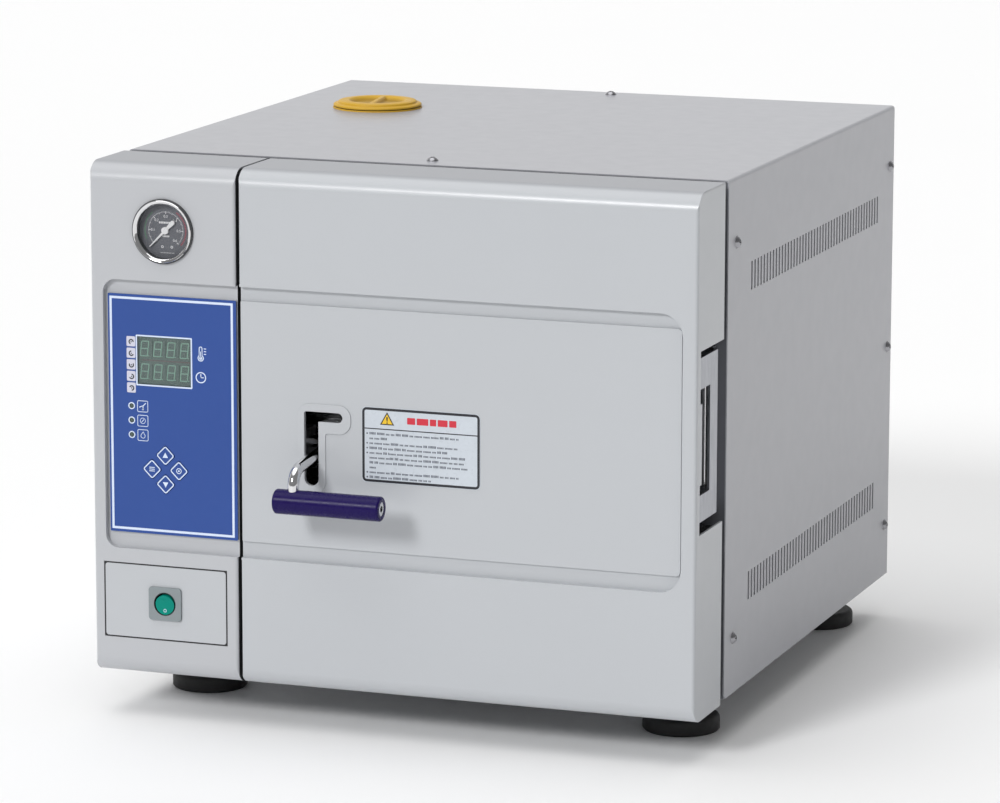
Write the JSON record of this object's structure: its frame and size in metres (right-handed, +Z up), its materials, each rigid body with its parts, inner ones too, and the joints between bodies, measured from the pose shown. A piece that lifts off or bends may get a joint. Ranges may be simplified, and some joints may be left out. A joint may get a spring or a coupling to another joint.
{
  "type": "benchtop autoclave",
  "caption": "Table-top steam autoclave with a side-hinged lever door, pressure chamber with trays, control column, gauge and top water filler.",
  "frame": {"origin": "centre of the whole part's footprint box, at the height of the surface that the feet stand on", "axes": "+Z up, the door and controls face -Y, +X to the right of a person facing the door"},
  "size_m": [0.5672, 0.6919, 0.5053],
  "materials": {
    "grey_paint": "satin",
    "stainless": "brushed",
    "plated_steel": "zinc plated",
    "black_steel": "matt",
    "bright_chrome": "polished",
    "cover_screw_steel": "bright",
    "foot_rubber": "matt",
    "gasket_rubber": "satin silicone",
    "wool_jacket": "felted",
    "tank_plastic": "translucent",
    "golden_plastic": "gloss",
    "dial_face": "matt",
    "clear_glass": "clear",
    "needle_white": "matt",
    "blue_film": "fine satin texture",
    "smoked_window": "clear, tinted",
    "display_black": "matt",
    "lamp_lens": "clear",
    "circuit_green": "solder mask",
    "switch_grey": "satin",
    "rocker_green": "translucent gloss",
    "valve_brass": "machined",
    "supply_aluminium": "mill finish",
    "copper_pipe": "drawn",
    "inlet_black": "matt",
    "label_white": "printed film",
    "grip_purple": "gloss"
  },
  "bodies": {
    "casing": {"base_pan": "plated_steel", "front_frame": "plated_steel", "rear_panel": "grey_paint", "wrap_cover": "grey_paint", "cover_screws": "cover_screw_steel", "rubber_feet": "foot_rubber", "foot_studs": "plated_steel", "control_column": "grey_paint", "column_chassis": "plated_steel", "chamber": "stainless", "chamber_insulation": "wool_jacket", "chamber_cradle": "plated_steel", "heating_element": "stainless", "tray_rack": "stainless", "tray_lower": "stainless", "tray_middle": "stainless", "tray_upper": "stainless", "water_tank": "tank_plastic", "filler_neck": "golden_plastic", "gauge_case": "black_steel", "gauge_dial": "dial_face", "gauge_glass": "clear_glass", "gauge_bezel": "bright_chrome", "keypad_plate": "plated_steel", "membrane_overlay": "blue_film", "display_window": "smoked_window", "display_module": "display_black", "status_lamps": "lamp_lens", "control_board": "circuit_green", "switch_plate": "grey_paint", "switch_housing": "switch_grey", "solenoid_valves": "valve_brass", "safety_valve": "valve_brass", "power_supply": "supply_aluminium", "pipework": "copper_pipe", "drain_outlet": "valve_brass", "power_inlet": "inlet_black", "hinge_bracket": "plated_steel", "hinge_pin": "bright_chrome"},
    "door": {"door_cover": "grey_paint", "door_inset_panel": "grey_paint", "door_liner": "stainless", "door_beam": "black_steel", "slot_escutcheon": "grey_paint", "door_label": "label_white", "bearing_blocks": "plated_steel"},
    "lever": {"lever_arm": "bright_chrome", "handle_grip": "grip_purple", "grip_screw": "bright_chrome"},
    "lid": {"lid": "stainless", "lid_gasket": "gasket_rubber"},
    "latch": {"latch_bolt": "plated_steel"},
    "needle": {"gauge_needle": "needle_white"},
    "rocker": {"power_rocker": "rocker_green"},
    "up_key": {"key_up": "blue_film"},
    "down_key": {"key_down": "blue_film"},
    "left_key": {"key_left": "blue_film"},
    "right_key": {"key_right": "blue_film"},
    "cap_seal": {"cap_gasket": "gasket_rubber"},
    "cap": {"filler_cap": "golden_plastic"}
  },
  "joints": [
    {"name": "door_hinge", "type": "hinge", "parent": "casing", "child": "door", "pos_m": [0.269, -0.23605, 0.279], "axis": [0, 0, 1], "range_deg": [0, 100]},
    {"name": "lever_lift", "type": "hinge", "parent": "door", "child": "lever", "pos_m": [0, -0.24405, 0.2526], "axis": [-1, 0, 0], "range_deg": [-18, 36]},
    {"name": "lid_press", "type": "slide", "parent": "door", "child": "lid", "axis": [0, 1, 0], "range_m": [-0.003, 0.0015]},
    {"name": "latch_slide", "type": "slide", "parent": "door", "child": "latch", "axis": [-1, 0, 0], "range_m": [0, 0.022]},
    {"name": "gauge_swing", "type": "hinge", "parent": "casing", "child": "needle", "pos_m": [-0.21, -0.29005, 0.4399], "axis": [0, 1, 0], "range_deg": [0, 270], "stiffness_Nm_per_rad": 0.0005},
    {"name": "rocker_tilt", "type": "hinge", "parent": "casing", "child": "rocker", "pos_m": [-0.2116, -0.29005, 0.106], "axis": [-1, 0, 0], "range_deg": [0, 14]},
    {"name": "up_key_press", "type": "slide", "parent": "casing", "child": "up_key", "axis": [0, 1, 0], "range_m": [0, 0.0005], "stiffness_N_per_m": 400},
    {"name": "down_key_press", "type": "slide", "parent": "casing", "child": "down_key", "axis": [0, 1, 0], "range_m": [0, 0.0005], "stiffness_N_per_m": 400},
    {"name": "left_key_press", "type": "slide", "parent": "casing", "child": "left_key", "axis": [0, 1, 0], "range_m": [0, 0.0005], "stiffness_N_per_m": 400},
    {"name": "right_key_press", "type": "slide", "parent": "casing", "child": "right_key", "axis": [0, 1, 0], "range_m": [0, 0.0005], "stiffness_N_per_m": 400},
    {"name": "cap_lift", "type": "slide", "parent": "casing", "child": "cap_seal", "axis": [0, 0, 1], "range_m": [0, 0.06]},
    {"name": "cap_turn", "type": "hinge", "parent": "cap_seal", "child": "cap", "pos_m": [-0.178, 0.13895, 0.505], "axis": [0, 0, 1], "range_deg": [0, 90]}
  ],
  "couplings": [
    {"joint": "lid_press", "follows": "lever_lift", "m_per_rad": -0.0045}
  ]
}
